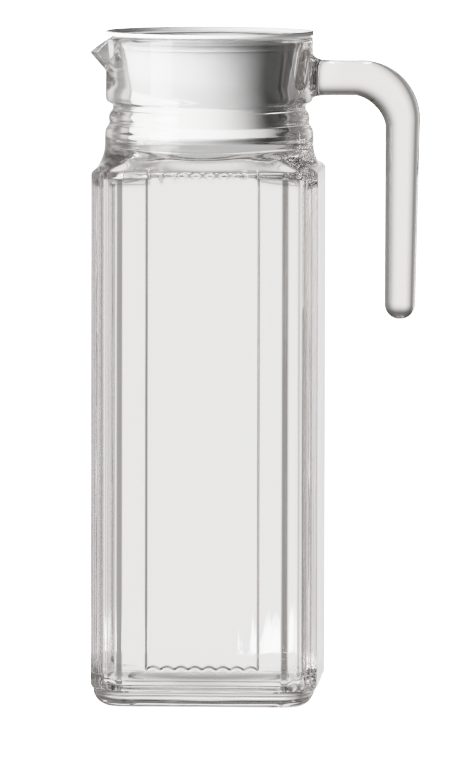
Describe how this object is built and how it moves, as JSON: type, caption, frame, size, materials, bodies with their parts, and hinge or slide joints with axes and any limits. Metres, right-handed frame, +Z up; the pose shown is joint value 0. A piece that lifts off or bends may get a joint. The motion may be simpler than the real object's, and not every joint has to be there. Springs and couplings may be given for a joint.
{
  "type": "water jug",
  "caption": "Tall square clear-glass water jug with stepped corners, a pouring beak, a fused hook handle and a lift-out white plug lid.",
  "frame": {"origin": "middle of the flat foot, on the table plane, on the axis of the neck", "axes": "+Z up along the neck's axis; +X towards the handle, -X towards the pouring beak; -Y is the front seen with the handle on the right"},
  "size_m": [0.1236, 0.0842, 0.25],
  "materials": {
    "body_glass": "fire-polished clear pressed glass",
    "handle_glass": "solid pressed glass, smooth",
    "lid_plastic": "smooth white moulded polyethylene, satin"
  },
  "bodies": {
    "jug": {"glass_body": "body_glass", "glass_handle": "handle_glass"},
    "lid": {"lid": "lid_plastic"}
  },
  "joints": [
    {"name": "lid_lift", "type": "slide", "parent": "jug", "child": "lid", "axis": [0, 0, 1], "range_m": [0, 0.055]}
  ]
}
